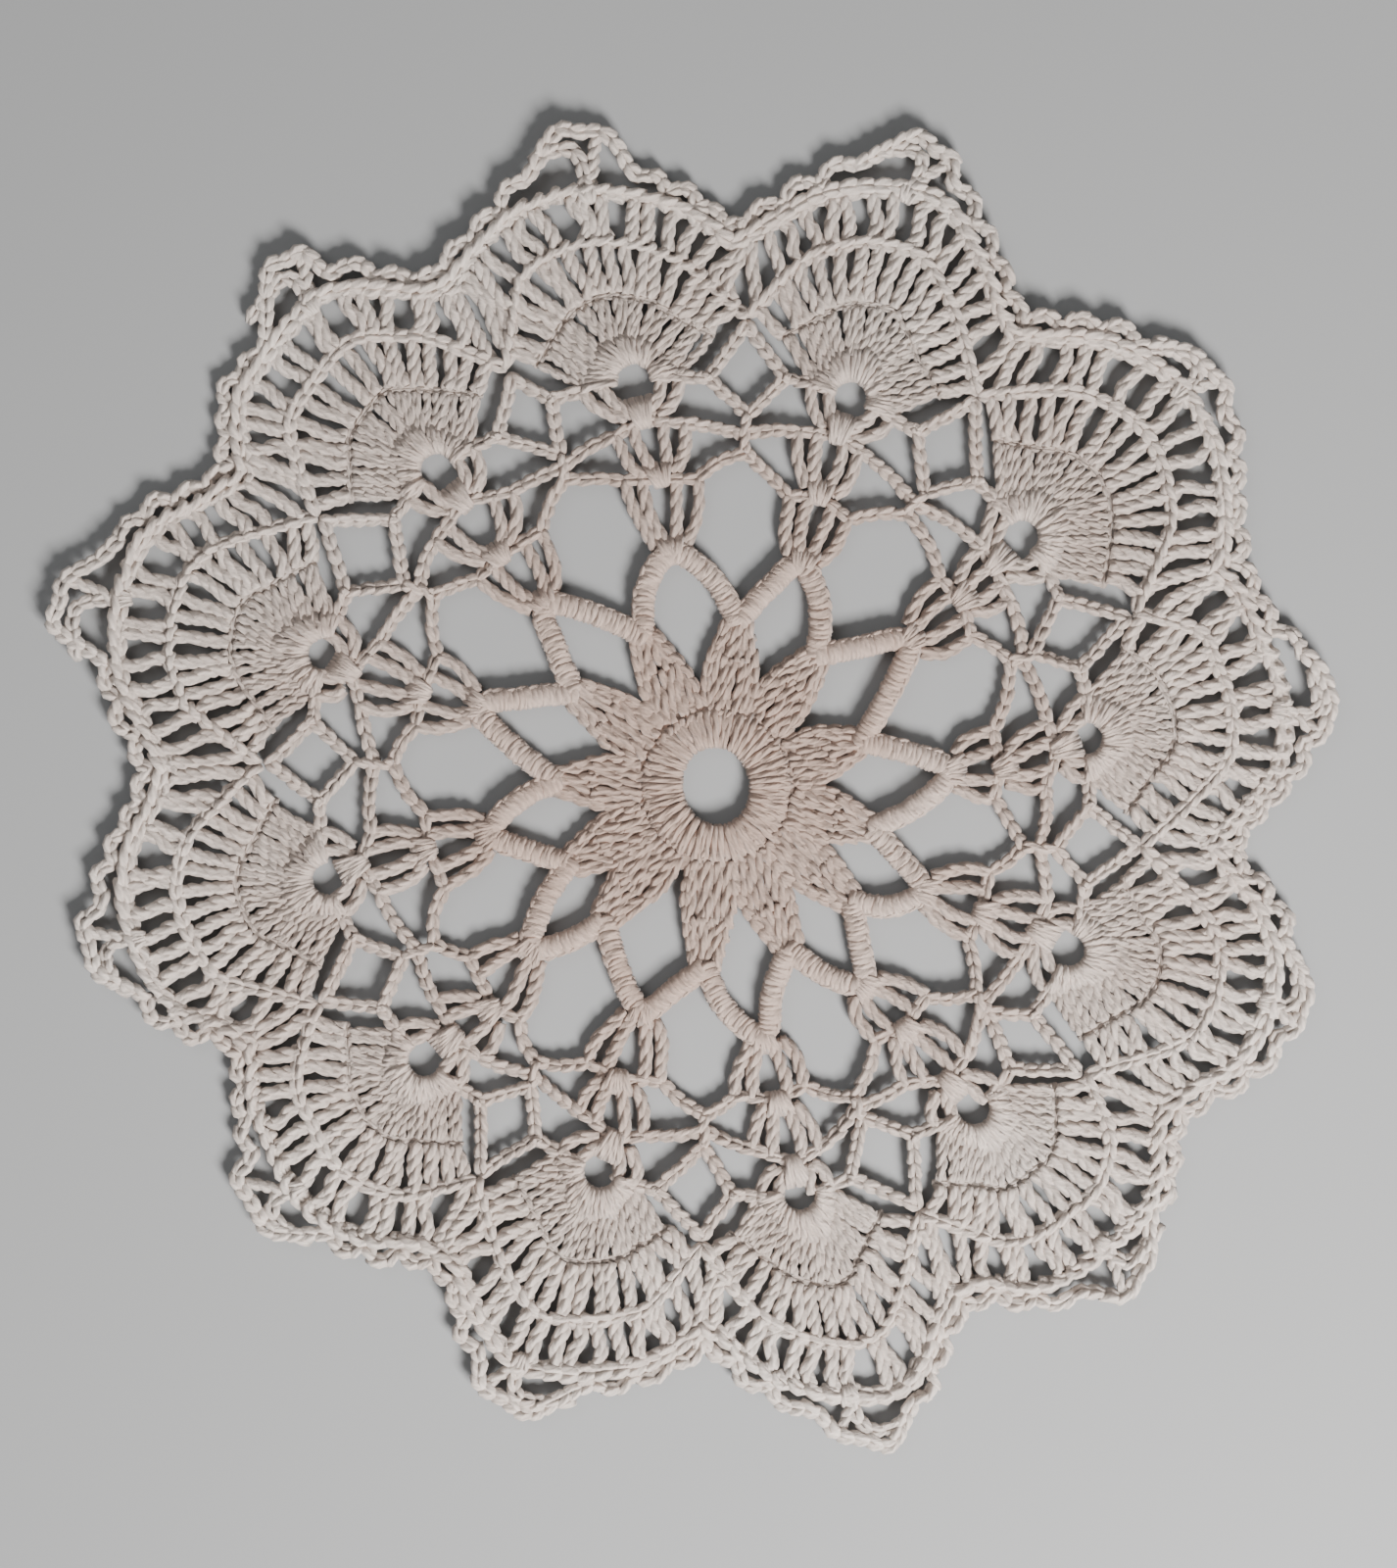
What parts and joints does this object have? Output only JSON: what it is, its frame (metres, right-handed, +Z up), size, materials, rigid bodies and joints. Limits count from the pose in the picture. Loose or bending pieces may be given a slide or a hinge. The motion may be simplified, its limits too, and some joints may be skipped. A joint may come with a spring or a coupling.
{
  "type": "lace doily",
  "caption": "Round crocheted cotton lace doily with a petalled centre, an openwork net and a scalloped picot edge, lying flat as a table mat.",
  "frame": {"origin": "under the middle of the doily's bounding box, on the surface that it lies on", "axes": "+Z up through the thickness, +Y towards the top of the picture, +X towards its right side"},
  "size_m": [0.1976, 0.2036, 0.003],
  "materials": {
    "ecru_cotton": "matt off-white cotton crochet yarn with a soft twist, a little warmer towards the middle"
  },
  "bodies": {
    "root": {"doily": "ecru_cotton"}
  },
  "joints": []
}
